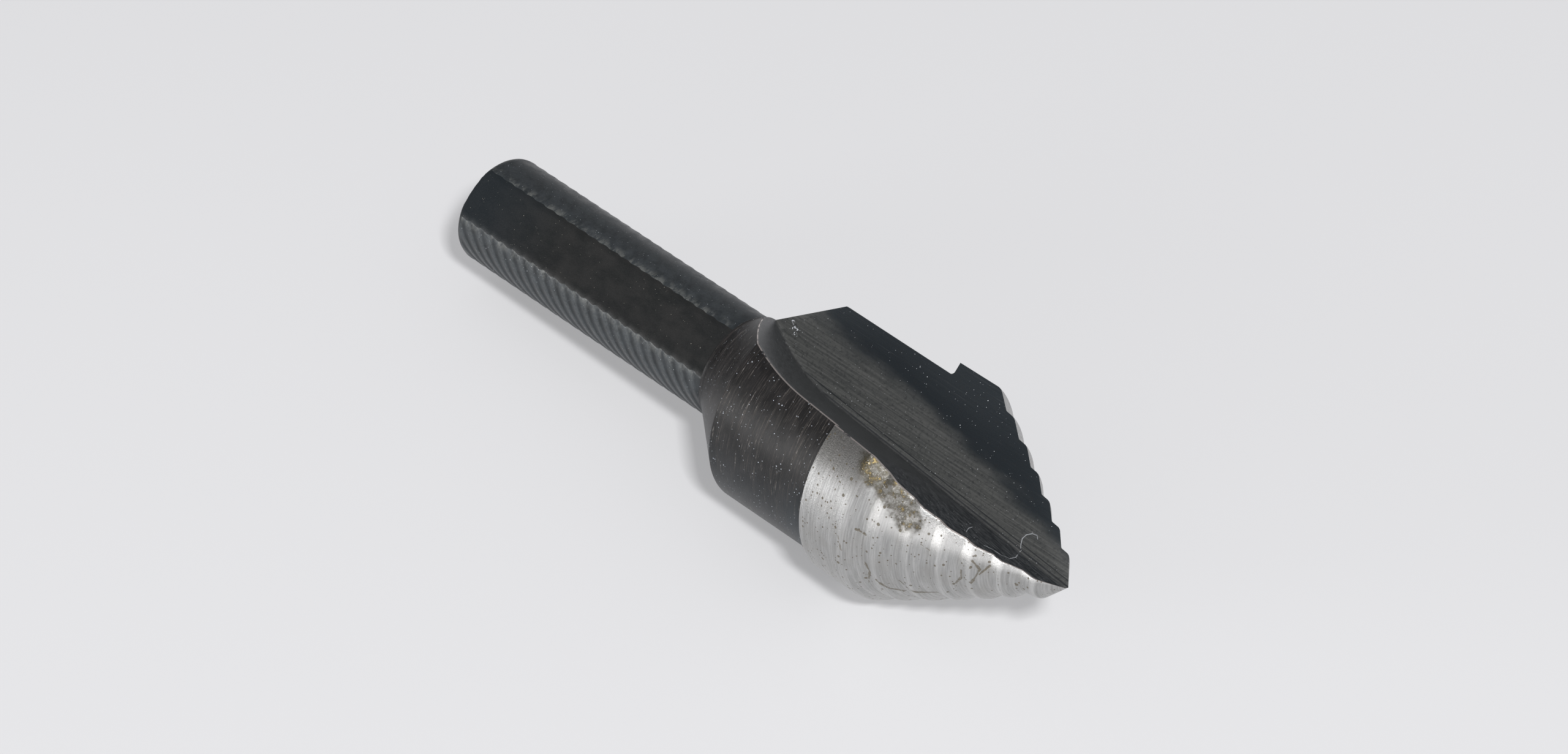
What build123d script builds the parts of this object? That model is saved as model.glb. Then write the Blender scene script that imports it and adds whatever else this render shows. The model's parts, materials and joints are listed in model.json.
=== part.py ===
"""Step drill, one solid piece of high-speed steel, in millimetres.

The drill is built in its own tool frame: +X runs along the axis to the tip, which is at the
origin, +Y points to the cutting edge and +Z is the way the cutting face of the flute looks.
It is then laid down as it rests on a level floor, nearly heavy side down, on the widest land and the
back of the body: +X is level and towards the tip, +Z is up, and the origin is under the middle
of the bounding box, on the floor.
"""
from build123d import *
from math import acos, atan2, cos, degrees, hypot, radians, tan
import os

# ---- Driving dimensions -------------------------------------------------------------------
# Shank: 3/8 inch, with three flats for the chuck jaws
SHANK_DIAMETER = 9.525
SHANK_LENGTH = 29.8            # from the rear cone to the end
NECK_LENGTH = 0.25             # round part of the shank between the cone and the flats
FLAT_DEPTH = 0.61              # how deep each flat is cut
FLAT_COUNT = 3
FLAT_AZIMUTH = 85.3            # where the first flat looks, turned from the cutting edge
END_ROUND = 0.75               # rounding of the edge at the end of the shank

# Body: the plain cylinder behind the widest land, with a cone down to the shank
BODY_LENGTH = 12.1
BODY_DEPTH = 1.24              # how far its surface lies under the widest land
REAR_CONE_SLOPE = 38.0         # slope of the rear cone to the axis
NECK_FILLET = 0.5              # where the cone meets the shank
BODY_FILLET = 0.35             # where the widest land steps down to the body

# Stepped nose: a pilot land behind the point, then equal rises up to the widest land
PILOT_DIAMETER = 4.51          # over the middle of the pilot land
FINAL_DIAMETER = 20.64         # 13/16 inch, over the front of the widest land
RISE_COUNT = 6                 # steps up from the pilot to the widest land
POINT_ANGLE = 112.4            # included angle of the point
LAND_LENGTH = 0.95             # length of each land but the widest
LAND_RISE = 0.11               # how much each of them gains in radius to its back
FIRST_SHOULDER = 1.05          # length of the shoulder behind the pilot
LAST_SHOULDER = 1.51           # length of the shoulder in front of the widest land
FINAL_LAND_LENGTH = 4.55
BACK_TAPER = 0.06              # what the widest land loses in radius to its back
CORNER_ROUND = 0.75            # rounding of the front corner of each land
CORNER_FILLET = 0.20           # fillet in the corner in front of each shoulder
BACK_OFF = 0.22                # the nose is turned this far off the axis, towards the cutting edge

# Flute: one V groove, whose cutting face lies in the plane of the axis
FLUTE_UNDERCUT = 0.14          # how far its floor passes the axis at the tip
FLUTE_SLOPE = 4.2              # slope of its floor to the axis
FLUTE_ROOT_RADIUS = 0.40
FLUTE_LEAN = 0.42              # how far its wall leans back at the tip, for each unit of height
FLUTE_LEAN_LENGTH = 15.7       # distance from the tip at which the wall stands square
FLUTE_LEAN_POWER = 1.3         # how the lean fades along that distance
FLUTE_SPANS = 4                # ruled spans of the leaning wall
FLUTE_RUN_OUT = 27.2           # distance from the tip at which its floor starts to rise out
FLUTE_SKEW = 0.27              # how much nearer that is, for each unit out from the root
FLUTE_RUN_OUT_RADIUS = 21.0    # radius of that rise
CUTTER_MARGIN = 3.0            # how far the cutting tools reach clear of the drill

# Rest: lying on a level floor
REST_TURN = 5.0                # how far it lies rolled off heavy side down, held by friction

# ---- Sizes worked out from them -----------------------------------------------------------
shank_radius = SHANK_DIAMETER / 2
final_radius = FINAL_DIAMETER / 2
pilot_radius = PILOT_DIAMETER / 2
body_radius = final_radius - BODY_DEPTH
flat_height = shank_radius - FLAT_DEPTH
rise = (final_radius - pilot_radius) / RISE_COUNT
cutter_reach = final_radius + CUTTER_MARGIN


def land_front(index):
    """Station of the front corner of a land, from the pilot, 0, to the widest, RISE_COUNT."""
    station = -(pilot_radius - LAND_RISE / 2) / tan(radians(POINT_ANGLE / 2))
    growth = (LAST_SHOULDER - FIRST_SHOULDER) / max(RISE_COUNT - 1, 1)
    for passed in range(index):
        station -= LAND_LENGTH + FIRST_SHOULDER + passed * growth
    return station


widest_front = land_front(RISE_COUNT)
widest_back = widest_front - FINAL_LAND_LENGTH
body_back = widest_back - BODY_LENGTH
cone_back = body_back - (body_radius - shank_radius) / tan(radians(REAR_CONE_SLOPE))
flat_front = cone_back - NECK_LENGTH
shank_end = cone_back - SHANK_LENGTH


def at_points(shape, points):
    """The vertices of a flat section that lie at the given points."""
    return [v for v in shape.vertices() if any(hypot(v.X - x, v.Y - y) < 1e-6 for x, y in points)]


def blank():
    """The shank, the rear cone and the body, as turned, up to the middle of the widest land."""
    hidden_front = widest_front - FINAL_LAND_LENGTH / 2
    end = (shank_end, shank_radius)
    neck = (cone_back, shank_radius)
    back = (body_back, body_radius)
    front = (hidden_front, body_radius)
    section = make_face(
        Polyline((hidden_front, 0), (shank_end, 0), end, neck, back, front, close=True)
    )
    section = fillet(at_points(section, [end]), END_ROUND)
    section = fillet(at_points(section, [neck]), NECK_FILLET)
    return revolve(section, Axis.X)


def nose():
    """The point, the steps and the widest land, turned about a centre off the axis."""
    outer = []
    inner = []
    for index in range(RISE_COUNT):
        radius = pilot_radius + index * rise - BACK_OFF
        front = land_front(index)
        outer.append((front, radius - LAND_RISE / 2))
        inner.append((front - LAND_LENGTH, radius + LAND_RISE / 2))
    outer.append((widest_front, final_radius - BACK_OFF))
    steps = [corner for pair in zip(outer, inner) for corner in pair]
    back = (widest_back, final_radius - BACK_OFF - BACK_TAPER)
    section = make_face(Polyline((0, 0), *steps, outer[-1], back, (widest_back, 0), close=True))
    section = fillet(at_points(section, outer), CORNER_ROUND)
    section = fillet(at_points(section, inner), CORNER_FILLET)
    return Pos(0, BACK_OFF, 0) * revolve(section, Axis.X)


def turned_drill():
    """The whole drill before its flats and its flute."""
    solid = blank() + nose()
    step_down = [
        edge
        for edge in solid.edges().filter_by(GeomType.CIRCLE)
        if abs(edge.radius - body_radius) < 1e-6 and abs(edge.center().X - widest_back) < 1e-6
    ]
    return fillet(step_down, BODY_FILLET)


def flat_cutters():
    """The blocks that cut the flats of the shank."""
    length = flat_front - shank_end + CUTTER_MARGIN
    size = SHANK_DIAMETER
    block = Pos(flat_front - length / 2, flat_height + size / 2, 0) * Box(length, size, 2 * size)
    return [Rot(flat_azimuth(index), 0, 0) * block for index in range(FLAT_COUNT)]


def flat_azimuth(index):
    """Where a flat of the shank looks, turned from the cutting edge, in degrees."""
    return FLAT_AZIMUTH + index * 360 / FLAT_COUNT


def flute_floor(station):
    """Height of the flute's floor over the axis at a station."""
    return -FLUTE_UNDERCUT - station * tan(radians(FLUTE_SLOPE))


def flute_lean(station):
    """How far the flute's wall leans back at a station, for each unit of height."""
    share = min(max(-station / FLUTE_LEAN_LENGTH, 0), 1)
    return FLUTE_LEAN * (1 - share**FLUTE_LEAN_POWER)


def flute_section(station):
    """Section of the flute across the axis, with a sharp root."""
    floor = flute_floor(station)
    top = floor - flute_lean(station) * cutter_reach
    return make_face(
        Polyline(
            (station, floor, 0),
            (station, cutter_reach, 0),
            (station, cutter_reach, cutter_reach),
            (station, top, cutter_reach),
            close=True,
        )
    )


def flute_cutter():
    """The solid that the flute is cut with, from in front of the tip to where it runs out."""
    stations = [CUTTER_MARGIN]
    stations += [-FLUTE_LEAN_LENGTH * span / FLUTE_SPANS for span in range(FLUTE_SPANS + 1)]
    front = loft([flute_section(station) for station in stations], ruled=True)

    last = stations[-1]
    floor = Line((last, flute_floor(last)), (-FLUTE_RUN_OUT, flute_floor(-FLUTE_RUN_OUT)))
    sweep = degrees(acos(1 - body_radius / FLUTE_RUN_OUT_RADIUS))
    rise_out = JernArc(floor @ 1, floor % 1, FLUTE_RUN_OUT_RADIUS, -sweep)
    back = (rise_out @ 1).X
    rest = Polyline(rise_out @ 1, (back, cutter_reach), (last, cutter_reach), floor @ 0)
    outline = make_face([floor, rise_out, *rest.edges()])
    across = (FLUTE_SKEW, -FLUTE_SKEW * tan(radians(FLUTE_SLOPE)), 1)
    cutter = front + extrude(outline, cutter_reach, dir=across)
    return fillet([edge for edge in cutter.edges() if is_root(edge)], FLUTE_ROOT_RADIUS)


def is_root(edge):
    """Whether an edge of the flute's cutter runs along the root of the groove."""
    places = [edge.position_at(share) for share in (0, 0.5, 1)]
    runs_back = abs(places[0].X - places[-1].X) > 1e-3
    return runs_back and all(abs(p.Z) < 1e-6 and p.Y < cutter_reach - 1e-6 for p in places)


def rest_turn(solid):
    """The turn that lays the drill down: heavy side down, on its widest land and its body."""
    heavy = solid.center(CenterOf.MASS)
    azimuth = atan2(heavy.Z, heavy.Y) + radians(REST_TURN)
    land = final_radius - BACK_TAPER - BACK_OFF * (1 - cos(azimuth))
    tilt = degrees(atan2(land - body_radius, BODY_LENGTH))
    return Rot(0, -tilt, 0) * Rot(270 - degrees(azimuth), 0, 0)


def laid_down(solid):
    """The drill as it rests on a level floor, with the origin under its middle."""
    turned = rest_turn(solid) * solid
    box = turned.bounding_box()
    return Pos(-box.center().X, -box.center().Y, -box.min.Z) * turned


if __name__ == "__main__":
    drill = turned_drill() - flat_cutters() - flute_cutter()
    os.makedirs("parts", exist_ok=True)
    export_step(laid_down(drill.solid()), "parts/step_drill.step")
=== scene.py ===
"""Looks for the step drill: one swept mesh with its finishes, a floor, soft lights and the camera.

The mesh is built in the tool frame, in millimetres: +X runs along the axis to the tip, which is
at the origin, +Y points to the cutting edge and +Z is the way the cutting face looks. The
record's shank mounts say where that frame lies in the row frame.
"""

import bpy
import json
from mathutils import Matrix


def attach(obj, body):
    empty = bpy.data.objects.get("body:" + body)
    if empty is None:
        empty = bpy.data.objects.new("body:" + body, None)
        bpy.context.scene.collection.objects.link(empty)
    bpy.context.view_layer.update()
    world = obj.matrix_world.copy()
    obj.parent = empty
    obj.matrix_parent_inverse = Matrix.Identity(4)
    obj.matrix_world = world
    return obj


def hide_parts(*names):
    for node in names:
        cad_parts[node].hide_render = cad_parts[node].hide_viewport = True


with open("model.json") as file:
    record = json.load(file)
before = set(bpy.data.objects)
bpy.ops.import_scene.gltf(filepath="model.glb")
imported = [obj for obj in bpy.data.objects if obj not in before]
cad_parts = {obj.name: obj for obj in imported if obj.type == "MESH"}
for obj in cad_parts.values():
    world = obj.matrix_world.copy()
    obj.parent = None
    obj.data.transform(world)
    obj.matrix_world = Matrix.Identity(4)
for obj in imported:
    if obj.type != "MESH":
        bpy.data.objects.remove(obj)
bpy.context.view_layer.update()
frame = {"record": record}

import json
from math import acos, cos, degrees, pi, radians, sin, tan

import bmesh
import bpy
import numpy as np
from mathutils import Matrix, Vector

MM = 0.001
NODE = "step_drill"

# ---- Driving dimensions in millimetres, the CAD's own -------------------------------------
SHANK_DIAMETER = 9.525
SHANK_LENGTH = 29.8
NECK_LENGTH = 0.25
FLAT_DEPTH = 0.61
FLAT_COUNT = 3
FLAT_AZIMUTH = 85.3
END_ROUND = 0.75
BODY_LENGTH = 12.1
BODY_DEPTH = 1.24
REAR_CONE_SLOPE = 38.0
NECK_FILLET = 0.5
BODY_FILLET = 0.35
PILOT_DIAMETER = 4.51
FINAL_DIAMETER = 20.64
RISE_COUNT = 6
POINT_ANGLE = 112.4
LAND_LENGTH = 0.95
LAND_RISE = 0.11
FIRST_SHOULDER = 1.05
LAST_SHOULDER = 1.51
FINAL_LAND_LENGTH = 4.55
BACK_TAPER = 0.06
CORNER_FILLET = 0.20
FLUTE_UNDERCUT = 0.14
FLUTE_SLOPE = 4.2
FLUTE_ROOT_RADIUS = 0.40
FLUTE_LEAN = 0.42
FLUTE_LEAN_LENGTH = 15.7
FLUTE_LEAN_POWER = 1.3
FLUTE_RUN_OUT = 27.2
FLUTE_SKEW = 0.27
FLUTE_RUN_OUT_RADIUS = 21.0

# ---- Finer shape that the CAD leaves to the looks -----------------------------------------
PILOT_CORNER_ROUND = 0.56      # rounding of the pilot land's front corner
WIDEST_CORNER_ROUND = 1.0      # rounding of the widest land's front corner
RELIEF_DROP = 0.45             # how far the widest land is ground down behind the cutting edge
RELIEF_RECESS = 0.99           # how far the steps are set back behind the cutting edge
RELIEF_RECESS_FULL = 3.0       # distance from the tip at which the set-back is whole
RELIEF_TURN = 22.0             # how fast both come in, in degrees behind the cutting edge
EDGE_BREAK = 0.03              # broken edge at the back of the widest land
BODY_EDGE_BREAK = 0.12         # rounded edge at the back of the body
HEEL_BREAK = 0.09              # worn edge along the back of the flute
RIDGE_SPACING = 1.28           # along the shank
RIDGE_STARTS = 16
RIDGE_DEPTH = 0.10
RIDGE_END = 1.2                # distance over which the ridges fade at the neck
END_FADE = 0.4                 # share of the rounded end that is clear of them
RIDGE_SLANT = 0.68             # share of each ridge's width that its long side takes
RIDGE_WEAR = 0.35              # half the share of their depth that is gone where most worn
RIDGE_WORN_TURN = 335.0        # where they are worn down most, in degrees behind the cutting edge
FLAT_STEP = 0.02               # slope of the wall at the front of each flat
PAINTED_HIGHLIGHT_SIDE = 0.31           # a painted highlight band lies this far over the nose's middle, by the radius
EDGE_WEAR = 0.45               # how deep the wear along the edges of the flats reaches
RECESS_FADE = 3.0              # length of the body over which the mesh takes up the set-back

# ---- Mesh density -------------------------------------------------------------------------
ROUND_COLUMNS = 26             # of each round part of the shank
FLAT_COLUMNS = 10              # of each flat
WALL_COLUMNS = 14              # across the flute's wall
FACE_COLUMNS = 16              # across its cutting face
ROOT_COLUMNS = 5               # round its root
BREAK_COLUMNS = 3              # round its worn edge
FINE_STEPS = 3                 # of a rounding up to FINE_RADIUS
COARSE_STEPS = 7               # of a larger one
FINE_RADIUS = 0.2
HEEL_TRIES = 1441              # places round the lower half where the wall's edge is looked for
EXIT_HALVINGS = 60             # of the span in which the flute's exit is looked for
EDGE_PASSES = 4                # to find where a flat's edge crosses the ridges
FLAT_SPREAD = 0.5              # cosine of the turn past which a flat cuts nothing
STRAIGHT = 1.0                 # a corner that bends less than this, in degrees, stays as it is
LAYOUT_END = 0.2               # how far before the cone's end the columns lie as on the shank
SHARP_ANGLE = 40.0             # edges that turn more than this show sharp
WELD = 0.002                   # points this near each other are one
HAIR = 1e-9                    # no distance at all
FARTHEST = 0.4                 # share of a line's length that its rounded end can take up

# ---- Sizes worked out from them -----------------------------------------------------------
shank_radius = SHANK_DIAMETER / 2
final_radius = FINAL_DIAMETER / 2
pilot_radius = PILOT_DIAMETER / 2
body_radius = final_radius - BODY_DEPTH
flat_height = shank_radius - FLAT_DEPTH
rise = (final_radius - pilot_radius) / RISE_COUNT


def land_front(index):
    """Station of the front corner of a land, from the pilot, 0, to the widest, RISE_COUNT."""
    station = -(pilot_radius - LAND_RISE / 2) / tan(radians(POINT_ANGLE / 2))
    growth = (LAST_SHOULDER - FIRST_SHOULDER) / (RISE_COUNT - 1)
    for passed in range(index):
        station -= LAND_LENGTH + FIRST_SHOULDER + passed * growth
    return station


widest_front = land_front(RISE_COUNT)
widest_back = widest_front - FINAL_LAND_LENGTH
body_back = widest_back - BODY_LENGTH
cone_back = body_back - (body_radius - shank_radius) / tan(radians(REAR_CONE_SLOPE))
flat_front = cone_back - NECK_LENGTH
shank_end = cone_back - SHANK_LENGTH


# ---- Flute --------------------------------------------------------------------------------
def flute_floor(station, out=0.0):
    """Height of the flute's floor over the axis at a station, so far out from its root."""
    station = np.asarray(station, float)
    slope = radians(FLUTE_SLOPE)
    line = -FLUTE_UNDERCUT - station * tan(slope)
    start = -FLUTE_RUN_OUT + FLUTE_SKEW * np.asarray(out, float)
    centre_x = start + FLUTE_RUN_OUT_RADIUS * sin(slope)
    centre_y = -FLUTE_UNDERCUT - start * tan(slope) + FLUTE_RUN_OUT_RADIUS * cos(slope)
    inside = np.maximum(FLUTE_RUN_OUT_RADIUS**2 - (station - centre_x) ** 2, 0)
    return np.where(station > start, line, centre_y - np.sqrt(inside))


def flute_lean(station):
    """How far the flute's wall leans back at a station, for each unit of height."""
    share = np.clip(-np.asarray(station, float) / FLUTE_LEAN_LENGTH, 0, 1)
    return FLUTE_LEAN * (1 - share**FLUTE_LEAN_POWER)


def flute_exit():
    """Station where the flute's floor comes out of the rear cone."""
    low, high = cone_back, body_back
    for _ in range(EXIT_HALVINGS):
        middle = (low + high) / 2
        cone = body_radius - (body_back - middle) * tan(radians(REAR_CONE_SLOPE))
        if flute_floor(middle) > cone:
            low = middle
        else:
            high = middle
    return high


exit_station = flute_exit()


# ---- Profile along the drill --------------------------------------------------------------
def bend(before, corner, after, radius, steps):
    """Points that round a corner of a line with an arc, or the corner alone for radius 0."""
    before, corner, after = (np.array(p, float) for p in (before, corner, after))
    back = (before - corner) / np.linalg.norm(before - corner)
    ahead = (after - corner) / np.linalg.norm(after - corner)
    turn = pi - acos(np.clip(back @ ahead, -1, 1))
    if radius == 0 or turn < radians(STRAIGHT):
        return [corner]
    start, end = corner + back * radius * tan(turn / 2), corner + ahead * radius * tan(turn / 2)
    centre = corner + (back + ahead) / np.linalg.norm(back + ahead) * radius / cos(turn / 2)
    spokes = [start - centre, end - centre]
    points = []
    for share in np.linspace(0, 1, steps + 1):
        mix = (sin((1 - share) * turn) * spokes[0] + sin(share * turn) * spokes[1]) / sin(turn)
        points.append(centre + mix)
    return points


def profile():
    """The drill's outline at the cutting edge: its places (station, radius), and their parts.

    Each corner has its place, its rounding, the spacing of the points behind it, and its part.
    """
    corners = [((0, 0), 0, 0.25, "nose")]
    for index in range(RISE_COUNT):
        radius, front = pilot_radius + index * rise, land_front(index)
        share = index / RISE_COUNT
        rounding = PILOT_CORNER_ROUND + (WIDEST_CORNER_ROUND - PILOT_CORNER_ROUND) * share
        corners.append(((front, radius - LAND_RISE / 2), rounding, 0.16, "nose"))
        back = (front - LAND_LENGTH, radius + LAND_RISE / 2)
        corners.append((back, CORNER_FILLET, 0.18, "nose"))
    land_back = final_radius - BACK_TAPER
    corners += [
        ((widest_front, final_radius), WIDEST_CORNER_ROUND, 0.3, "nose"),
        ((widest_back, land_back), EDGE_BREAK, 0.2, "nose"),
        ((widest_back, body_radius), BODY_FILLET, 0.35, "body"),
        ((body_back, body_radius), BODY_EDGE_BREAK, 0.22, "body"),
        ((exit_station, body_radius - (body_back - exit_station) * tan(radians(REAR_CONE_SLOPE))),
         0, 0.2, "body"),
        ((cone_back, shank_radius), NECK_FILLET, 0.1, "body"),
        ((flat_front + FLAT_STEP, shank_radius), 0, 0.1, "body"),
        ((flat_front, shank_radius), 0, 0.1, "shank"),
        ((shank_end, shank_radius), END_ROUND, 0.5, "shank"),
        ((shank_end, 0), 0, 0.5, "shank"),
    ]
    rows = []
    for index, (place, radius, _, part) in enumerate(corners):
        if 0 < index < len(corners) - 1:
            around = (corners[index - 1][0], place, corners[index + 1][0])
            points = bend(*around, radius, FINE_STEPS if radius <= FINE_RADIUS else COARSE_STEPS)
        else:
            points = [np.array(place, float)]
        if rows:
            start, end = rows[-1][0], points[0]
            gap, step = np.linalg.norm(end - start), corners[index - 1][2]
            count = max(int(np.ceil(gap / step)), 1)
            shares = np.linspace(0, 1, count + 1)[1:-1]
            if place[0] == exit_station:
                shares = 1 - (1 - shares) ** 2
            rows += [(start + (end - start) * share, part) for share in shares]
        rows += [(point, part) for point in points]
    return np.array([row[0] for row in rows]), [row[1] for row in rows]


# ---- Rings across the drill ---------------------------------------------------------------
def flat_turn(index):
    """How far behind the cutting edge a flat of the shank looks, in degrees."""
    return (-FLAT_AZIMUTH - index * 360 / FLAT_COUNT) % 360


def smooth_step(value, low, high):
    """0 below low, 1 above high, and a smooth rise between them."""
    share = np.clip((value - low) / (high - low), 0, 1)
    return share * share * (3 - 2 * share)


def relief_at(turn):
    """The share of the relief that has come in, so many degrees behind the cutting edge."""
    return 1 - np.exp(-turn / RELIEF_TURN)


def full_recess(station):
    """How far back the whole relief sets the nose's surface at a station."""
    return RELIEF_RECESS * min(max(-station / RELIEF_RECESS_FULL, 0), 1)


def relieved(station, radius, turn, part):
    """Station and radius of a point of the nose or body, turned behind the cutting edge."""
    fall = relief_at(turn)
    recess = full_recess(station) * (1 - smooth_step(widest_back - station, 0, RECESS_FADE))
    share = radius / final_radius
    if part != "nose":
        share = max(radius - body_radius, 0) / (final_radius - BACK_TAPER - body_radius)
    return station - recess * fall, radius - RELIEF_DROP * share * fall


def ridged(station, turn):
    """Depth of the shank's ridges at a station, turned behind the cutting edge by degrees."""
    phase = station / RIDGE_SPACING + RIDGE_STARTS * turn / 360
    saw = phase % 1
    hollow = np.where(saw < RIDGE_SLANT, saw / RIDGE_SLANT, (1 - saw) / (1 - RIDGE_SLANT))
    fade = np.clip((flat_front + RIDGE_END - station) / RIDGE_END, 0, 1)
    fade = fade * np.clip((station - shank_end) / END_ROUND - END_FADE, 0, 1)
    left = 1 - RIDGE_WEAR - RIDGE_WEAR * np.cos(np.radians(turn - RIDGE_WORN_TURN))
    return RIDGE_DEPTH * left * (1 - smooth_step(hollow, 0, 1)) * fade


def on_circle(station, radius, turn):
    """Points of a ring in the tool frame, turned behind the cutting edge by degrees."""
    angle = np.radians(turn)
    station = np.broadcast_to(station, angle.shape)
    return np.stack([station, radius * np.cos(angle), -radius * np.sin(angle)], axis=-1)


def heel_turn(station, radius, part):
    """How far behind the cutting edge the flute's wall cuts the ring at a station, in degrees."""
    turns = np.linspace(180, 360, HEEL_TRIES)
    place = on_circle(*relieved(station, radius, turns, part), turns)
    floor = flute_floor(place[:, 0], place[:, 2])
    over = place[:, 1] - floor + flute_lean(place[:, 0]) * place[:, 2]
    cut = np.nonzero(over >= 0)[0]
    if not len(cut):
        return 360.0
    if cut[0] == 0:
        return 180.0
    first = cut[0]
    return turns[first - 1] + (turns[first] - turns[first - 1]) * over[first - 1] / (
        over[first - 1] - over[first]
    )


def shank_turns(station):
    """Turns of the columns round the shank, with one on each edge of each flat."""
    half = degrees(acos(flat_height / shank_radius))
    turns = []
    edges = sorted(
        (flat_turn(index) + side * half, side) for index in range(FLAT_COUNT) for side in (-1, 1)
    )
    edges.append((edges[0][0] + 360, edges[0][1]))
    scalloped = []
    for turn, side in edges:
        edge = turn
        if station < flat_front - RIDGE_END / 2:
            for _ in range(EDGE_PASSES):
                outer = shank_radius - float(ridged(station, edge))
                edge = turn + side * (degrees(acos(min(flat_height / outer, 1))) - half)
        scalloped.append((edge, side))
    for (start, side), (end, _) in zip(scalloped[:-1], scalloped[1:]):
        count = FLAT_COLUMNS if side < 0 else ROUND_COLUMNS
        turns += list(np.linspace(start, end, count + 1)[:-1])
    return np.array(turns + [scalloped[-1][0]])


COLUMNS = FLAT_COUNT * (FLAT_COLUMNS + ROUND_COLUMNS)


def curve(start, corner, end, count):
    """Points between two others that round the corner they meet in."""
    shares = np.linspace(0, 1, count + 2)[1:-1, None]
    return (1 - shares) ** 2 * start + 2 * shares * (1 - shares) * corner + shares**2 * end


def toward(point, goal, distance):
    """The point moved towards a goal, by at most the share FARTHEST of the way."""
    gap = goal - point
    length = np.linalg.norm(gap)
    return point + gap * min(distance / length, FARTHEST) if length > HAIR else point.copy()


def ring(station, radius, part):
    """One ring of the swept mesh: the turned surface, then the flute's wall and its face."""
    cut = station > exit_station + HAIR
    last = heel_turn(station, radius, part) if cut else 360.0
    turns = np.linspace(0, last, COLUMNS + 1)
    if station <= exit_station:
        layout = shank_turns(station)
        mix = smooth_step(-station, -exit_station, -cone_back + LAYOUT_END)
        turns = turns + (layout - turns) * mix
    x, r = relieved(station, radius, turns, part)
    if part == "shank":
        r = r - ridged(station, turns) * (radius > shank_radius - END_ROUND / 2)
        for index in range(FLAT_COUNT):
            lean = np.cos(np.radians(turns - flat_turn(index)))
            cut_down = np.minimum(r, flat_height / np.maximum(lean, FLAT_SPREAD))
            r = np.where(lean > FLAT_SPREAD, cut_down, r)
    turned = on_circle(x, r, turns)
    if not cut:
        return turned, None

    edge, heel = turned[0], turned[-1]
    root_y = max(float(flute_floor(station)), -np.linalg.norm(heel[1:]))
    root = np.array([station, root_y, 0.0])
    shares = np.linspace(0, 1, WALL_COLUMNS + 1)[:, None]
    wall = heel + (root - heel) * shares
    wall[:, 1] = flute_floor(wall[:, 0], wall[:, 2]) - flute_lean(wall[:, 0]) * wall[:, 2]
    if last == 180.0:
        wall[:, 1] = heel[1]
    wall[0], wall[-1] = heel, root

    heel_in, heel_out = toward(heel, turned[-2], HEEL_BREAK), toward(heel, root, HEEL_BREAK)
    root_in, root_out = toward(root, heel, FLUTE_ROOT_RADIUS), toward(root, edge, FLUTE_ROOT_RADIUS)
    wall_inner = heel_out + (root_in - heel_out) * shares
    offset = wall[:, 1] - (heel + (root - heel) * shares)[:, 1]
    wall_inner[:, 1] += offset
    face_inner = root_out + (edge - root_out) * np.linspace(0, 1, FACE_COLUMNS + 1)[:, None]
    turned[-1] = heel_in
    groove = np.concatenate([
        curve(heel_in, heel, heel_out, BREAK_COLUMNS),
        wall_inner,
        curve(root_in, root, root_out, ROOT_COLUMNS),
        face_inner[:-1],
    ])
    return turned, groove


GROOVE = BREAK_COLUMNS + WALL_COLUMNS + 1 + ROOT_COLUMNS + FACE_COLUMNS
STEEL, BLACK_TURNED, BLACK_SHANK, BLACK_FLAT, BLACK_FLUTE, WORN_EDGE = range(6)
PLACE, CREST = "place", "crest"   # the mesh's attributes that the finishes read


def finish_of(column, part, on_flats):
    """The finish of a face, from its column and from the part of the profile behind it."""
    if column > COLUMNS + BREAK_COLUMNS:
        return BLACK_FLUTE
    if column >= COLUMNS:
        return WORN_EDGE
    if part == "nose":
        return STEEL
    if part == "body":
        return BLACK_TURNED
    in_flat = column % (FLAT_COLUMNS + ROUND_COLUMNS) < FLAT_COLUMNS
    return BLACK_FLAT if on_flats and in_flat else BLACK_SHANK


def drill_mesh():
    """The swept mesh in millimetres: its points, faces, the faces' finishes, the points' crests."""
    places, parts = profile()
    points, faces, finishes, crests = [], [], [], []
    width = COLUMNS + 1 + GROOVE
    for (station, radius), part, crest in zip(places, parts, crest_of(places)):
        turned, groove = ring(station, max(radius, 0), part)
        crests += [crest * (part == "nose")] * width
        if groove is None:
            at_exit = on_circle(station, radius, np.zeros(1))[0]
            at = at_exit if station == exit_station else turned[-1]
            groove = np.repeat(at[None], GROOVE, axis=0)
        points.append(np.concatenate([turned, groove]))
    for row, part in enumerate(parts[1:]):
        here, there = row * width, (row + 1) * width
        on_flats = places[row + 1][0] < flat_front
        grooved = places[row][0] > exit_station + HAIR
        columns = width if grooved else COLUMNS
        for column in range(columns):
            after = (column + 1) % width
            faces.append((here + column, here + after, there + after, there + column))
            finishes.append(finish_of(column, part, on_flats))
    return np.concatenate(points), faces, finishes, crests


def crest_of(places):
    """How sharply the outline turns at each of its points: 1 on a crest, -1 in a corner."""
    runs = np.diff(places, axis=0)
    slopes = np.unwrap(np.arctan2(runs[:, 1], -runs[:, 0]))
    spans = np.linalg.norm(runs, axis=1)
    bends = np.zeros(len(places))
    bends[1:-1] = (slopes[:-1] - slopes[1:]) / (spans[:-1] + spans[1:])
    bends = np.clip(bends, -1, 1)
    return np.convolve(bends, [0.25, 0.5, 0.25], "same")


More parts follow.
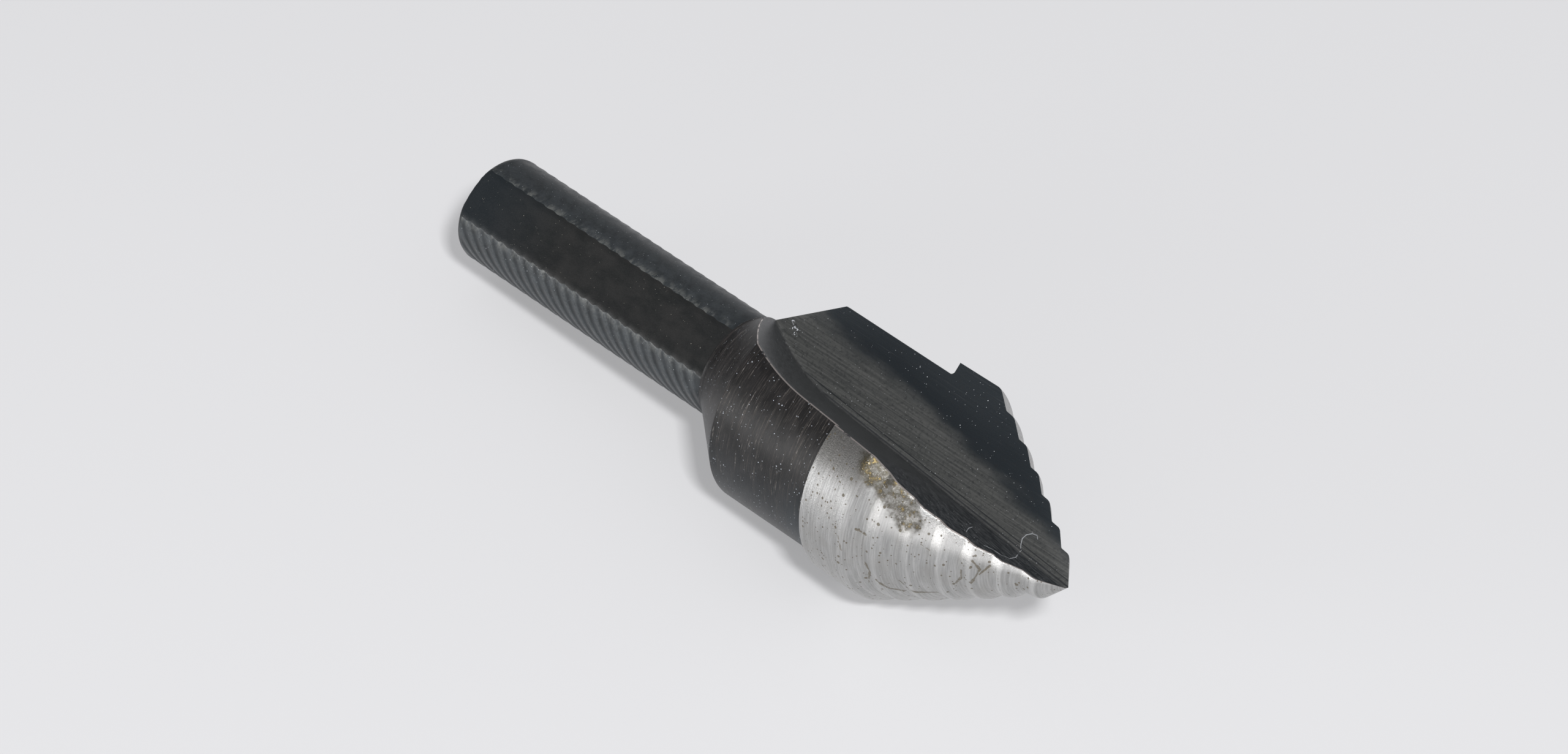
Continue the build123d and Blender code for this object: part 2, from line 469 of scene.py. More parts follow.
def make_drill(materials):
    """The drill's mesh object, in the row frame, with its tool frame places as an attribute."""
    points, faces, finishes, crests = drill_mesh()
    mesh = bpy.data.meshes.new("drill")
    mesh.from_pydata([tuple(p) for p in points], [], faces)
    for material in materials:
        mesh.materials.append(material)
    mesh.polygons.foreach_set("material_index", finishes)
    mesh.attributes.new(CREST, "FLOAT", "POINT").data.foreach_set("value", crests)
    mesh.attributes.new(PLACE, "FLOAT_VECTOR", "POINT").data.foreach_set("vector", points.ravel())
    work = bmesh.new()
    work.from_mesh(mesh)
    bmesh.ops.remove_doubles(work, verts=work.verts, dist=WELD)
    bmesh.ops.dissolve_degenerate(work, edges=work.edges, dist=WELD / 20)
    bmesh.ops.recalc_face_normals(work, faces=work.faces)
    work.to_mesh(mesh)
    work.free()
    mesh.transform(tool @ Matrix.Scale(MM, 4))
    mesh.polygons.foreach_set("use_smooth", [True] * len(mesh.polygons))
    mesh.set_sharp_from_angle(angle=radians(SHARP_ANGLE))
    drill = bpy.data.objects.new("drill", mesh)
    bpy.context.scene.collection.objects.link(drill)
    weighted = drill.modifiers.new("weighted", "WEIGHTED_NORMAL")
    weighted.keep_sharp = True
    return drill


# ---- Where the tool frame lies ------------------------------------------------------------
def tool_frame():
    """The tool frame's place in the row frame, in metres, from the record's shank mounts."""
    mounts = {mount["name"]: mount for mount in frame["record"]["mounts"]}
    ahead = -Vector(mounts["shank"]["axis"]).normalized()
    flat = Vector(mounts["shank_flat_a"]["axis"]).normalized()
    reach = (flat_front + shank_end) / 2 * MM
    tip = Vector(mounts["shank"]["pos_m"]) - ahead * reach
    azimuth = radians(FLAT_AZIMUTH)
    edge = flat * cos(azimuth) - ahead.cross(flat) * sin(azimuth)
    look = ahead.cross(edge)
    turn = Matrix((ahead, edge, look)).transposed().to_4x4()
    return Matrix.Translation(tip) @ turn


tool = tool_frame()


# ---- Camera -------------------------------------------------------------------------------
IMAGE_WIDTH, IMAGE_HEIGHT = 2560, 1231
FOCUS = 11500                  # distance of the picture plane, in pixels
TIP_PIXEL = (1744.2, 959.4)    # where the tip shows
TIP_SCALE = 20.70              # pixels in a millimetre at the tip
AXIS_DIP = 33.17               # how far the drill's axis leans towards the camera
AXIS_SLANT = 33.59             # slope of the axis in the picture, down to the right
FACE_ROLL = 4.72               # how far the cutting face is turned past the one that looks up most
SENSOR = 36.0


def view_axes():
    """The tool frame's axes in the camera's frame of right, down and ahead."""
    dip, slant, roll = radians(AXIS_DIP), radians(AXIS_SLANT), radians(FACE_ROLL)
    ahead = Vector((cos(dip) * cos(slant), cos(dip) * sin(slant), -sin(dip)))
    across = Vector((sin(slant), -cos(slant), 0))
    toward = ahead.cross(across)
    edge = across * cos(roll) + toward * sin(roll)
    look = toward * cos(roll) - across * sin(roll)
    return ahead, edge, look


def add_camera():
    """The camera, at the place from which the drill fills the picture as it should."""
    axes = view_axes()
    tip = Vector((TIP_PIXEL[0] - IMAGE_WIDTH / 2, TIP_PIXEL[1] - IMAGE_HEIGHT / 2, FOCUS))
    tip /= TIP_SCALE
    right, down, ahead = (Vector([axis[row] for axis in axes]) for row in range(3))
    place = Matrix((right, -down, -ahead)).transposed().to_4x4()
    place.translation = Vector([-tip.dot(axis) for axis in axes]) * MM
    data = bpy.data.cameras.new("camera")
    data.sensor_width = SENSOR
    data.sensor_fit = "HORIZONTAL"
    data.lens = FOCUS / IMAGE_WIDTH * SENSOR
    data.clip_start, data.clip_end = 0.01, 20
    camera = bpy.data.objects.new("camera", data)
    bpy.context.scene.collection.objects.link(camera)
    camera.matrix_world = tool @ place
    bpy.context.scene.camera = camera
    return camera


camera = add_camera()


# ---- Finishes -----------------------------------------------------------------------------
class Finish:
    """A material, with short ways to build the nodes that drive it, in millimetres."""

    def __init__(self, name, roughness, metallic=0.0, ior=1.5):
        self.material = bpy.data.materials.new(name)
        self.material.use_nodes = True
        self.tree = self.material.node_tree
        self.shader = self.tree.nodes["Principled BSDF"]
        self.shader.inputs["Roughness"].default_value = roughness
        self.shader.inputs["Metallic"].default_value = metallic
        self.shader.inputs["IOR"].default_value = ior
        self.place = self.node("Attribute", attribute_name=PLACE).outputs["Vector"]
        self.normal = None

    def node(self, kind, *inputs, **settings):
        node = self.tree.nodes.new("ShaderNode" + kind)
        for name, value in settings.items():
            setattr(node, name, value)
        for socket, value in zip(node.inputs, inputs):
            self.feed(socket, value)
        return node

    def feed(self, socket, value):
        if isinstance(value, bpy.types.NodeSocket):
            self.tree.links.new(value, socket)
        elif value is not None:
            socket.default_value = value

    def math(self, operation, *values):
        return self.node("Math", *values, operation=operation).outputs[0]

    def vector(self, operation, *values, output="Vector"):
        return self.node("VectorMath", *values, operation=operation).outputs[output]

    def axis(self, index):
        """One of the tool frame's coordinates."""
        return self.node("SeparateXYZ", self.place).outputs[index]

    def reach(self):
        """How far from the axis the surface lies."""
        across = self.vector("MULTIPLY", self.place, (0.0, 1.0, 1.0))
        return self.vector("LENGTH", across, output="Value")

    def side(self):
        """Where the surface looks: 1 as the cutting edge does, 0 square to it, -1 away from it."""
        return self.math("DIVIDE", self.axis(1), self.reach())

    def both(self, first, second):
        """The product of two shares, 1 only where both are."""
        return self.math("MULTIPLY", first, second)

    def either(self, first, second):
        """The larger of two shares."""
        return self.math("MAXIMUM", first, second)

    def shift(self, noise, reach):
        """What a noise moves an edge by, up to half the reach each way."""
        return self.math("MULTIPLY", self.math("SUBTRACT", noise, 0.5), reach)

    def noise(self, per_mm, detail=3.0, roughness=0.5, distortion=0.0, seed=0.0):
        """Noise of so many cycles a millimetre along each of the tool frame's axes."""
        scaled = self.vector("MULTIPLY", self.place, per_mm)
        moved = self.vector("ADD", scaled, (seed, seed * 1.7, seed * 2.3))
        made = self.node("TexNoise")
        for name, value in (
            ("Vector", moved), ("Scale", 1.0), ("Detail", detail),
            ("Roughness", roughness), ("Distortion", distortion),
        ):
            self.feed(made.inputs[name], value)
        return made.outputs[0]

    def step(self, value, low, high, start=0.0, end=1.0):
        """A smooth change from start to end as the value goes from low to high."""
        ends = (value, low, high, start, end)
        return self.node("MapRange", *ends, interpolation_type="SMOOTHSTEP").outputs[0]

    def mix(self, share, first, second):
        """A mix of two colours."""
        made = self.node("Mix", data_type="RGBA")
        for index, value in ((0, share), (6, colour(first)), (7, colour(second))):
            self.feed(made.inputs[index], value)
        return made.outputs[2]

    def blend(self, share, first, second):
        """A mix of two numbers."""
        return self.node("Mix", share, None, first, second, data_type="FLOAT").outputs[0]

    def specks(self, per_mm, size, share, seed=0.0):
        """Round specks up to a size in millimetres, in a share of the cells of a grid."""
        moved = self.vector("ADD", self.place, (seed, seed * 1.3, seed * 0.7))
        cells = self.node("TexVoronoi")
        self.feed(cells.inputs["Vector"], moved)
        self.feed(cells.inputs["Scale"], per_mm)
        chance = self.node("SeparateColor", cells.outputs["Color"])
        near = self.math("MULTIPLY", cells.outputs["Distance"], 1 / per_mm)
        reach = self.math("MULTIPLY", chance.outputs[1], size)
        inside = self.math("LESS_THAN", near, reach)
        chosen = self.math("LESS_THAN", chance.outputs[0], share)
        return self.math("MULTIPLY", inside, chosen)

    def spots(self, points, radius, ragged=0.0):
        """1 in the middle of any of the points and 0 a radius away from them all."""
        best = None
        for point in points:
            gap = self.vector("DISTANCE", self.place, point, output="Value")
            best = gap if best is None else self.math("MINIMUM", best, gap)
        if ragged:
            rough = self.noise((1.6, 1.6, 1.6), detail=4.0, seed=3.0)
            best = self.math("ADD", best, self.shift(rough, ragged * 2))
        return self.step(best, 0.0, radius, 1.0, 0.0)

    def strokes(self, lines, width, ragged=0.0):
        """1 on any of the lines, each given by its points, and 0 off them."""
        best = None
        for line in lines:
            for start, end in zip(line[:-1], line[1:]):
                run = Vector(end) - Vector(start)
                gone = self.vector("SUBTRACT", self.place, tuple(start))
                per_run = tuple(run / run.length_squared)
                along = self.vector("DOT_PRODUCT", gone, per_run, output="Value")
                along = self.node("Clamp", along).outputs[0]
                foot = self.node("VectorMath", tuple(run), operation="SCALE")
                self.feed(foot.inputs["Scale"], along)
                gap = self.vector("DISTANCE", gone, foot.outputs[0], output="Value")
                best = gap if best is None else self.math("MINIMUM", best, gap)
        if ragged:
            rough = self.noise((2.0, 2.0, 2.0), detail=2.0, seed=5.0)
            best = self.math("ADD", best, self.shift(rough, ragged * 2))
        return self.step(best, width * 0.4, width, 1.0, 0.0)

    def bump(self, height, depth, strength=1.0):
        """Raises the surface by a depth in millimetres where the height is 1."""
        made = self.node("Bump")
        made.inputs["Strength"].default_value = strength
        made.inputs["Distance"].default_value = depth * MM
        self.feed(made.inputs["Height"], height)
        self.feed(made.inputs["Normal"], self.normal)
        self.normal = made.outputs[0]

    def finish(self, base, roughness=None, metallic=None):
        """Puts what was built on the shader."""
        self.feed(self.shader.inputs["Base Color"], base)
        self.feed(self.shader.inputs["Roughness"], roughness)
        self.feed(self.shader.inputs["Metallic"], metallic)
        self.feed(self.shader.inputs["Normal"], self.normal)
        return self.material


def colour(value):
    """A colour socket as it is, and a colour's three numbers with an alpha of 1."""
    return value if isinstance(value, bpy.types.NodeSocket) else (*value, 1.0)


def on_nose(station, turn):
    """The point of the nose's surface at a station, so many degrees behind the cutting edge."""
    places, parts = profile()
    nose = np.array([place for place, part in zip(places, parts) if part == "nose"])
    fall = relief_at(turn)
    before = station + full_recess(station) * fall
    radius = float(np.interp(-before, -nose[:, 0], nose[:, 1]))
    radius -= RELIEF_DROP * radius / final_radius * fall
    return tuple(float(v) for v in on_circle(station, radius, np.array([turn]))[0])


# Marks on the nose, each place a station and the degrees behind the cutting edge
# Places of the heat stain and of the painted dark reflection round it
STAIN_AND_DARK_REFLECTION_SPOTS = ((-15.7, 274), (-15.2, 270), (-14.6, 268), (-14.0, 266), (-13.4, 268), (-12.9, 263),
               (-12.1, 258), (-11.5, 255))
SCORES = (
    ((-6.4, 242), (-5.9, 233), (-6.4, 213)), ((-7.2, 226), (-7.2, 217), (-7.7, 207)),
    ((-5.4, 240), (-5.9, 226)), ((-14.1, 217), (-13.8, 211), (-14.2, 203)),
    ((-13.4, 205), (-12.9, 196), (-12.1, 189)), ((-11.9, 203), (-10.8, 193), (-9.6, 186)),
    ((-14.9, 238), (-14.2, 236)),
)
FINE_SCORES = (((-12.7, 201), (-10.9, 193), (-9.4, 183)), ((-10.2, 241), (-9.6, 238)),
               ((-16.0, 232), (-15.7, 224)))

# Marks in the flute, in the tool frame
CRUMBS = ((-35.2, 5.65, 0.03), (-34.7, 5.22, 0.03), (-34.5, 4.9, 0.03), (-34.2, 4.65, 0.05),
          (-33.6, 4.24, 0.9), (-33.1, 4.0, 1.95), (-33.0, 3.94, 2.85), (-32.6, 3.74, 3.9))
SCRATCHES = (
    ((-6.6, -0.62, 3.4), (-6.1, -0.56, 2.9), (-5.3, -0.59, 2.6), (-4.75, -0.47, 2.05),
     (-4.8, -0.21, 1.3), (-5.5, 0.34, 0.0), (-5.8, 0.8, 0.0), (-5.95, 1.23, 0.0),
     (-5.8, 1.66, 0.0), (-5.4, 1.98, 0.0), (-4.95, 2.08, 0.0), (-4.7, 1.85, 0.0)),
    ((-8.3, -0.45, 4.0), (-8.8, -0.19, 3.15), (-9.0, 0.0, 2.4)),
)
GREY_LIMITS = ((-0.158, 1.86), (-0.06, 3.44))   # slope and height of the lines that end the grey
ROOT_SHADE_LINES = ((0.02, 0.10), (0.42, 0.06))       # height over the root and width of its dark lines of painted shade

# Colours, in linear light
STEEL_DULL, STEEL_CLEAR, STEEL_CLOUD = (0.33, 0.33, 0.325), (0.52, 0.52, 0.515), (0.36, 0.35, 0.335)
# Painted highlight for the steps' crests and painted shade for their corners
STEEL_CREST_HIGHLIGHT, STEEL_CORNER_SHADE = (0.78, 0.78, 0.77), (0.26, 0.245, 0.22)
# Widest land's top darkened, partly smoke and partly a painted dark reflection; a painted highlight on
# the steps
STEEL_SMOKE_AND_DARK_REFLECTION, STEEL_PAINTED_HIGHLIGHT = (0.115, 0.110, 0.100), (0.92, 0.91, 0.89)
# The stain's brown is partly heat stain and partly a painted dark reflection
STAIN_BROWN_AND_DARK_REFLECTION, STAIN_GOLD, STAIN_CLEAR = (0.072, 0.063, 0.044), (0.33, 0.245, 0.10), (0.85, 0.83, 0.78)
PIT_BROWN = (0.075, 0.056, 0.024)
BODY_DEEP, BODY_BLACK, BODY_COLD = (0.006, 0.0055, 0.0055), (0.015, 0.014, 0.014), (0.020, 0.027, 0.033)
# Hairline colour, and a painted glint on the hairlines
BODY_HAIR, BODY_PAINTED_GLINT = (0.060, 0.052, 0.046), (0.34, 0.32, 0.30)
SHANK_DEEP, SHANK_BLACK = (0.007, 0.010, 0.012), (0.021, 0.026, 0.030)
# Ridge crest colour: rubbed wear plus a painted reflection
SHANK_RUBBED_AND_REFLECTION, SHANK_CHIPPED = (0.105, 0.115, 0.120), (0.120, 0.124, 0.118)
FLAT_DEEP, FLAT_BLACK, FLAT_COLD = (0.006, 0.007, 0.007), (0.015, 0.015, 0.0145), (0.006, 0.011, 0.015)
FLUTE_GREY, FLUTE_PALE = (0.050, 0.052, 0.051), (0.086, 0.087, 0.084)
# The line colour is painted shade along the root
FLUTE_NAVY, FLUTE_ROOT_SHADE, FLUTE_SPOT = (0.010, 0.0145, 0.0185), (0.008, 0.010, 0.013), (0.012, 0.014, 0.016)
FLUTE_STREAK = (0.095, 0.10, 0.104)
WALL_BACK, WALL_FRONT, WALL_STREAK = (0.036, 0.038, 0.040), (0.012, 0.015, 0.018), (0.085, 0.089, 0.092)
EDGE_BLACK, EDGE_BARE = (0.03, 0.03, 0.032), (0.62, 0.56, 0.53)
DUST_BODY, DUST_SHANK, DUST_FLAT = (0.42, 0.45, 0.50), (0.32, 0.34, 0.36), (0.20, 0.19, 0.165)
DUST_FLUTE = (0.55, 0.57, 0.60)


def painted_nose_reflections(f, base):
    """The nose's colour with the widest land darkened by the heel, partly smoke and partly a painted dark
    reflection, and a painted highlight band on the steps there.
    """
    side = f.side()
    by_heel = f.step(side, -0.36, -0.10)
    on_land = f.step(f.axis(0), widest_front + 0.2, widest_front - 0.9)
    # Darkens the widest land by the heel: partly smoke, partly a painted dark reflection.
    base = f.mix(f.both(f.both(by_heel, on_land), 0.72), base, STEEL_SMOKE_AND_DARK_REFLECTION)
    off_middle = f.math("ABSOLUTE", f.math("ADD", side, PAINTED_HIGHLIGHT_SIDE))
    on_steps = f.step(f.axis(0), widest_front, widest_front + 2.5)
    # Painted highlight band over the steps.
    painted_highlight = f.both(f.step(off_middle, 0.24, 0.04, 0.0, 0.55), on_steps)
    return f.mix(painted_highlight, base, STEEL_PAINTED_HIGHLIGHT)


def stain_and_dark_reflection(f, base, grain):
    """The nose's colour with the stain by the heel: brown, partly a painted dark reflection, with gold
    and clear patches.
    """
    patches = f.noise((1.7, 1.7, 1.7), detail=4.0, roughness=0.65, seed=6.0)
    stain_and_reflection_places = [on_nose(*spot) for spot in STAIN_AND_DARK_REFLECTION_SPOTS]
    # Dark brown halo: partly heat stain, partly a painted dark reflection.
    dark_halo_and_reflection = f.step(f.spots(stain_and_reflection_places, 2.0, ragged=0.8), 0.12, 0.72)
    core = f.spots(stain_and_reflection_places, 1.3, ragged=1.2)
    mottle = f.step(patches, 0.34, 0.60, 0.62, 1.0)
    base = f.mix(f.both(f.both(dark_halo_and_reflection, mottle), 0.92), base, STAIN_BROWN_AND_DARK_REFLECTION)
    gold = f.both(core, f.step(patches, 0.55, 0.66))
    base = f.mix(f.both(gold, 0.85), base, STAIN_GOLD)
    return f.mix(f.both(core, f.step(grain, 0.60, 0.68)), base, STAIN_CLEAR)


def pits_and_scores(f, grain):
    """1 on the nose's pits and scores."""
    scores = f.strokes([[on_nose(*end) for end in line] for line in SCORES], 0.14, ragged=0.12)
    fine = f.strokes([[on_nose(*end) for end in line] for line in FINE_SCORES], 0.07, ragged=0.16)
    scores = f.both(scores, f.step(grain, 0.34, 0.46))
    pits = f.either(f.specks(2.0, 0.15, 0.34), f.specks(4.0, 0.09, 0.26, seed=4.0))
    return f.either(f.either(scores, f.both(fine, 0.7)), pits)


def ground_steel():
    """The bright steel of the nose, ground round the axis, with pits, scores and a heat stain, and
    painted highlights, painted shade and painted dark reflections.
    """
    f = Finish("ground_steel", 0.3, metallic=1.0)
    lines = f.noise((9.0, 0.35, 0.35), detail=5.0, roughness=0.7)
    grain = f.noise((9.0, 7.0, 7.0), detail=4.0, roughness=0.7, seed=1.0)
    clouds = f.noise((0.45, 0.45, 0.45), detail=4.0, seed=2.0)
    base = f.mix(f.step(lines, 0.3, 0.72), STEEL_DULL, STEEL_CLEAR)
    base = f.mix(f.step(clouds, 0.4, 0.7, 0.0, 0.4), base, STEEL_CLOUD)
    crest = f.node("Attribute", attribute_name=CREST).outputs["Fac"]
    # Painted highlight on the crests of the steps, painted shade in their corners.
    base = f.mix(f.step(crest, 0.05, 0.8, 0.0, 0.18), base, STEEL_CREST_HIGHLIGHT)
    base = f.mix(f.step(crest, -0.05, -0.9, 0.0, 0.15), base, STEEL_CORNER_SHADE)
    # Adds the painted highlight band, the painted dark reflection by the heel and the heat stain.
    base = stain_and_dark_reflection(f, painted_nose_reflections(f, base), grain)
    marks = pits_and_scores(f, grain)
    base = f.mix(f.both(marks, 0.8), base, PIT_BROWN)
    f.bump(lines, 0.012)
    f.bump(grain, 0.034)
    f.bump(marks, -0.02)
    return f.finish(base, f.blend(f.step(grain, 0.3, 0.7), 0.28, 0.46), f.blend(marks, 1.0, 0.3))


def turned_black():
    """The blackened body, with the light hairlines that turning left round the axis, and painted glints
    on them.
    """
    f = Finish("turned_black", 0.42, ior=1.38)
    lines = f.noise((7.5, 0.24, 0.24), detail=6.0, roughness=0.8)
    fine = f.noise((15.0, 0.9, 0.9), detail=3.0, roughness=0.7, seed=4.0)
    waves = f.noise((0.9, 0.5, 0.5), detail=3.0, seed=2.0)
    base = f.mix(f.step(waves, 0.35, 0.65), BODY_DEEP, BODY_BLACK)
    low = f.step(f.side(), -0.35, -0.95)
    by_land = f.step(f.axis(0), widest_back - 6.0, widest_back - 0.5)
    cold = f.both(low, f.step(by_land, 0.0, 1.0, 0.4, 1.0))
    base = f.mix(cold, base, BODY_COLD)
    hairs = f.both(f.step(lines, 0.53, 0.60), f.step(waves, 0.25, 0.6, 0.35, 1.0))
    hairs = f.either(hairs, f.step(fine, 0.58, 0.68, 0.0, 0.6))
    hairs = f.both(hairs, f.step(low, 0.0, 1.0, 1.0, 0.35))
    base = f.mix(f.both(hairs, 0.7), base, BODY_HAIR)
    # Painted glints on the hairlines.
    base = f.mix(f.both(f.step(lines, 0.56, 0.62), f.step(fine, 0.57, 0.66)), base, BODY_PAINTED_GLINT)
    dust = f.either(f.specks(3.2, 0.055, 0.16, seed=2.0), f.specks(6.0, 0.045, 0.16))
    base = f.mix(dust, base, DUST_BODY)
    f.bump(lines, 0.016)
    f.bump(fine, 0.008)
    return f.finish(base, f.blend(hairs, 0.40, 0.5))


def height_under_flats(f):
    """How far a place reaches along the axis of the flat that it is nearest to."""
    nearest = None
    for index in range(FLAT_COUNT):
        turn = radians(flat_turn(index))
        reach = f.vector("DOT_PRODUCT", f.place, (0.0, cos(turn), -sin(turn)), output="Value")
        nearest = reach if nearest is None else f.either(nearest, reach)
    return nearest


def shank_black():
    """The blackened round of the shank, mottled, and lighter where its ridges and edges rubbed, the ridge
    crests also with a painted reflection that is stronger on the lower side.
    """
    f = Finish("shank_black", 0.42, ior=1.45)
    mottle = f.noise((0.9, 0.9, 0.9), detail=5.0, roughness=0.6)
    grain = f.noise((6.0, 6.0, 6.0), detail=3.0, seed=1.0)
    chips = f.noise((1.5, 0.8, 0.8), detail=4.0, roughness=0.7, seed=5.0)
    base = f.mix(f.step(mottle, 0.35, 0.68), SHANK_DEEP, SHANK_BLACK)
    crest = f.step(f.reach(), shank_radius - RIDGE_DEPTH * 0.75, shank_radius - RIDGE_DEPTH * 0.05)
    on_ridges = f.step(f.axis(0), flat_front, flat_front - RIDGE_END)
    # Ridge crests lighter: rubbed wear plus a painted reflection, weaker on the upper side.
    rubbed_and_reflection = f.both(f.both(crest, on_ridges), f.step(grain, 0.3, 0.65, 0.5, 1.0))
    rubbed_and_reflection = f.both(rubbed_and_reflection, f.step(f.axis(1), 0.5, 3.0, 1.0, 0.4))
    base = f.mix(f.both(rubbed_and_reflection, 0.46), base, SHANK_RUBBED_AND_REFLECTION)
    by_flat = f.step(height_under_flats(f), flat_height - EDGE_WEAR, flat_height)
    chipped = f.both(f.both(by_flat, on_ridges), f.step(chips, 0.44, 0.62))
    base = f.mix(f.both(chipped, 0.75), base, SHANK_CHIPPED)
    dust = f.either(f.specks(3.0, 0.05, 0.10), f.specks(7.0, 0.03, 0.14, seed=3.0))
    base = f.mix(dust, base, DUST_SHANK)
    f.bump(grain, 0.012)
    return f.finish(base, f.blend(f.step(mottle, 0.3, 0.7), 0.34, 0.5))


def flat_black():
    """The dark flats of the shank, smooth, with a little dust."""
    f = Finish("flat_black", 0.42, ior=1.42)
    clouds = f.noise((0.5, 0.8, 0.8), detail=5.0, roughness=0.6)
    grain = f.noise((9.0, 9.0, 9.0), detail=2.0, seed=1.0)
    base = f.mix(f.step(clouds, 0.3, 0.7), FLAT_DEEP, FLAT_BLACK)
    base = f.mix(f.step(f.axis(0), shank_end + 12, shank_end, 0.0, 0.7), base, FLAT_COLD)
    dust = f.either(f.specks(1.9, 0.06, 0.16), f.specks(6.0, 0.032, 0.18, seed=3.0))
    base = f.mix(f.both(dust, 0.7), base, DUST_FLAT)
    f.bump(grain, 0.006)
    return f.finish(base, f.blend(f.step(grain, 0.3, 0.7), 0.38, 0.5))


def face_colour(f, streaks):
    """The cutting face: grey with streaks, blue-black by the cutting edge, with painted shade along the
    root.
    """
    waves = f.noise((0.16, 0.5, 0.5), detail=4.0, seed=2.0)
    over = f.math("ADD", f.axis(1), f.math("MULTIPLY", f.axis(0), tan(radians(FLUTE_SLOPE))))
    front, back = (f.math("ADD", f.math("MULTIPLY", f.axis(0), s), o) for s, o in GREY_LIMITS)
    past = f.math("SUBTRACT", over, f.math("MINIMUM", front, back))
    past = f.math("ADD", past, f.shift(waves, 3.4))
    past = f.math("ADD", past, f.shift(streaks, 1.4))
    grey = f.mix(f.step(streaks, 0.38, 0.62), FLUTE_GREY, FLUTE_PALE)
    return over, f.mix(f.step(past, -1.1, 0.7), grey, FLUTE_NAVY)


def wall_colour(f, streaks):
    """The flute's wall: grey with streaks at the back, darker towards the tip."""
    base = f.mix(f.step(f.axis(0), -22.0, -8.0), WALL_BACK, WALL_FRONT)
    return f.mix(f.step(streaks, 0.42, 0.60, 0.0, 0.7), base, WALL_STREAK)


def flute_black():
    """The blackened flute, with grinding streaks, dark root lines of painted shade, crumbs, scratches and
    dust.
    """
    f = Finish("flute_black", 0.38, ior=1.45)
    streaks = f.noise((0.13, 6.5, 6.5), detail=5.0, roughness=0.7)
    grain = f.noise((6.0, 6.0, 6.0), detail=3.0, seed=1.0)
    speckle = f.noise((3.0, 3.4, 3.4), detail=4.0, roughness=0.75, seed=7.0)
    over, face = face_colour(f, streaks)
    base = f.mix(f.step(f.axis(2), 0.05, 0.5), face, wall_colour(f, streaks))
    on_face = f.step(f.axis(2), 0.25, 0.02)
    # Painted shade lines along the root's rounding.
    for level, width in ROOT_SHADE_LINES:
        gap = f.math("ABSOLUTE", f.math("SUBTRACT", over, level))
        line = f.both(f.step(gap, width, width * 0.3), on_face)
        base = f.mix(f.both(line, 0.8), base, FLUTE_ROOT_SHADE)
    base = f.mix(f.step(speckle, 0.52, 0.32, 0.0, 0.5), base, FLUTE_SPOT)
    base = f.mix(f.step(streaks, 0.60, 0.75, 0.0, 0.30), base, FLUTE_STREAK)
    crumbs = f.spots(CRUMBS, 0.30, ragged=0.45)
    crumbs = f.both(f.step(crumbs, 0.25, 0.5), f.step(grain, 0.46, 0.56))
    scratches = f.strokes(SCRATCHES, 0.045, ragged=0.05)
    dust = f.either(f.specks(2.8, 0.045, 0.14), f.specks(6.5, 0.028, 0.20, seed=3.0))
    white = f.either(f.either(crumbs, f.both(scratches, 0.6)), dust)
    base = f.mix(white, base, DUST_FLUTE)
    f.bump(streaks, 0.010)
    f.bump(grain, 0.008)
    f.bump(f.either(crumbs, dust), 0.05)
    return f.finish(base, f.blend(f.step(streaks, 0.3, 0.7), 0.34, 0.48))


def worn_edge():
    """The edge along the flute's wall, where the black has worn off in places."""
    f = Finish("worn_edge", 0.35)
    wear = f.noise((1.3, 1.3, 1.3), detail=5.0, roughness=0.7)
    bare = f.step(wear, 0.36, 0.52)
    base = f.mix(bare, EDGE_BLACK, EDGE_BARE)
    f.bump(wear, 0.02)
    return f.finish(base, f.blend(bare, 0.5, 0.3), bare)


drill = make_drill([
    ground_steel(), turned_black(), shank_black(), flat_black(), flute_black(), worn_edge(),
])
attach(drill, "root")
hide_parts(NODE)


# ---- Floor and light ----------------------------------------------------------------------
FLOOR_SIZE = 4.0               # metres
FLOOR_COLOUR = (0.80, 0.80, 0.815)
FLOOR_LIGHT = (0.735, 0.735, 0.745)   # the floor's own brightness
FLOOR_GLOW = 0.4               # share of it in what the camera and reflections see
WORLD_COLOUR = (0.30, 0.30, 0.31)

# Each lamp's direction as the camera sees it (right, up, towards it), then its distance, width
# and height in metres, and its brightness
LAMPS = {
    "front": ((0.14, 0.13, 1.0), 0.9, 0.10, 0.10, 68.0),
    "side": ((-0.97, -0.04, 0.26), 0.7, 0.30, 0.16, 3.0),
    "low": ((-0.42, -0.52, 0.74), 0.35, 0.28, 0.12, 0.5),
}
AIM = (0, 0, 0.01)             # the place in the row frame that the lamps look at


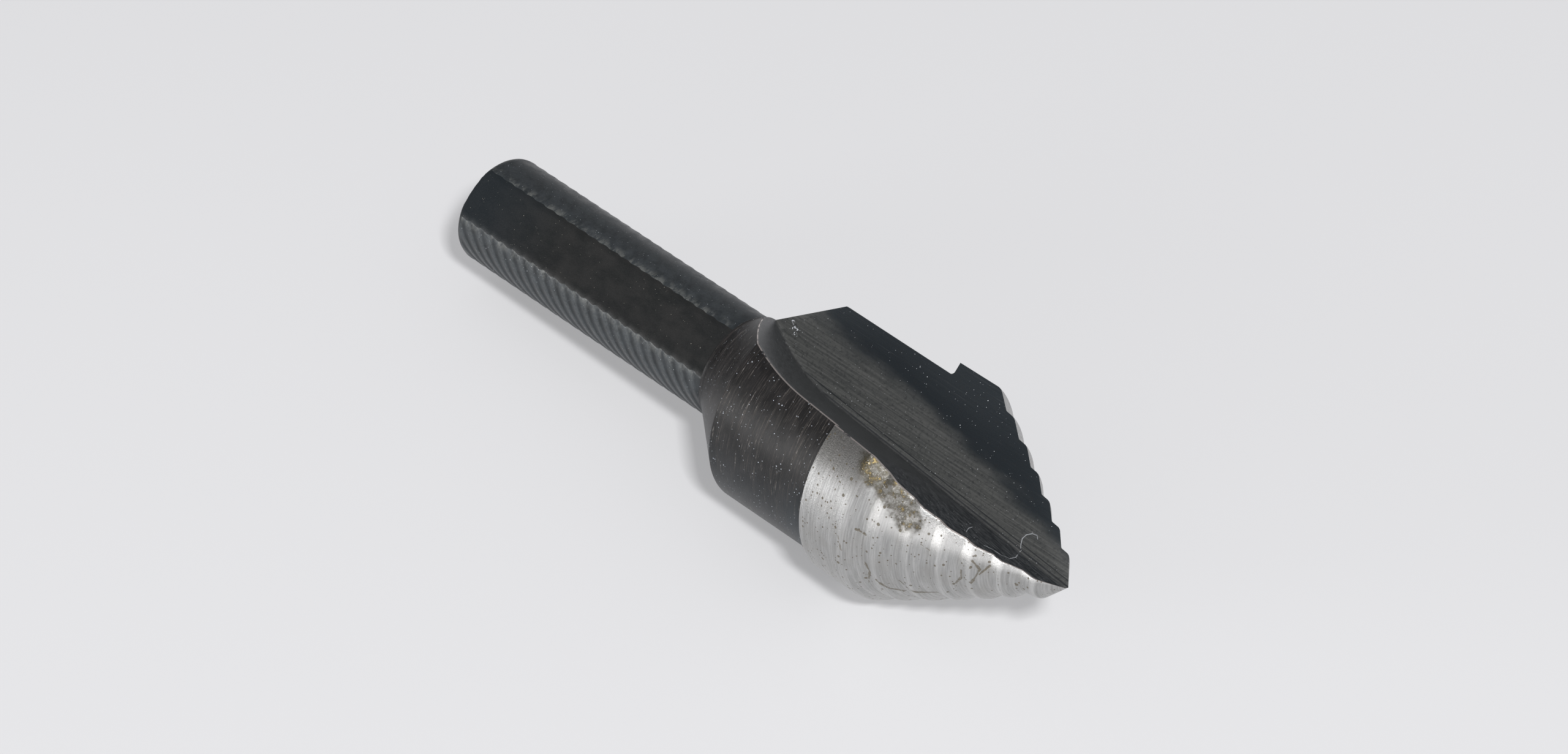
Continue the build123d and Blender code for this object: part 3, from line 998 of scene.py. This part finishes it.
def seen_share(tree):
    """A socket that is FLOOR_GLOW for the camera and for reflections, and 0 for other light."""
    path = tree.nodes.new("ShaderNodeLightPath")
    seen = path.outputs["Is Camera Ray"]
    for name in ("Is Glossy Ray", "Is Transmission Ray"):
        add = tree.nodes.new("ShaderNodeMath")
        add.operation = "ADD"
        add.use_clamp = True
        tree.links.new(seen, add.inputs[0])
        tree.links.new(path.outputs[name], add.inputs[1])
        seen = add.outputs[0]
    share = tree.nodes.new("ShaderNodeMath")
    share.operation = "MULTIPLY"
    share.inputs[1].default_value = FLOOR_GLOW
    tree.links.new(seen, share.inputs[0])
    return share.outputs[0]


def floor_finish():
    """The pale floor, part of whose brightness is its own as the camera and reflections see it."""
    material = bpy.data.materials.new("floor")
    material.use_nodes = True
    tree = material.node_tree
    matt = tree.nodes["Principled BSDF"]
    matt.inputs["Base Color"].default_value = colour(FLOOR_COLOUR)
    matt.inputs["Roughness"].default_value = 1.0
    matt.inputs["Specular IOR Level"].default_value = 0.0
    glow = tree.nodes.new("ShaderNodeEmission")
    glow.inputs["Color"].default_value = colour(FLOOR_LIGHT)
    mixed = tree.nodes.new("ShaderNodeMixShader")
    tree.links.new(seen_share(tree), mixed.inputs[0])
    tree.links.new(matt.outputs[0], mixed.inputs[1])
    tree.links.new(glow.outputs[0], mixed.inputs[2])
    tree.links.new(mixed.outputs[0], tree.nodes["Material Output"].inputs["Surface"])
    return material


def from_view(right, up, toward):
    """A direction in the row frame, given as the camera sees it."""
    turn = camera.matrix_world.to_3x3()
    return (turn @ Vector((right, up, toward))).normalized()


def softbox(name, direction, distance, width, height, brightness):
    """A rectangular lamp that looks at the drill, whose power grows with its area."""
    data = bpy.data.lights.new(name, "AREA")
    data.shape = "RECTANGLE"
    data.size, data.size_y = width, height
    data.energy = brightness * pi * pi * width * height
    lamp = bpy.data.objects.new(name, data)
    bpy.context.scene.collection.objects.link(lamp)
    lamp.location = Vector(AIM) + direction * distance
    lamp.rotation_mode = "QUATERNION"
    lamp.rotation_quaternion = direction.to_track_quat("Z", "Y")
    return lamp


bpy.ops.mesh.primitive_plane_add(size=FLOOR_SIZE)
floor = bpy.context.object
floor.name = "floor"
floor.data.materials.append(floor_finish())

for lamp_name, (seen_from, *lamp_sizes) in LAMPS.items():
    softbox(lamp_name, from_view(*seen_from), *lamp_sizes)

world = bpy.data.worlds.new("world")
bpy.context.scene.world = world
world.use_nodes = True
world.node_tree.nodes["Background"].inputs["Color"].default_value = colour(WORLD_COLOUR)

bpy.context.scene.view_settings.view_transform = "Standard"
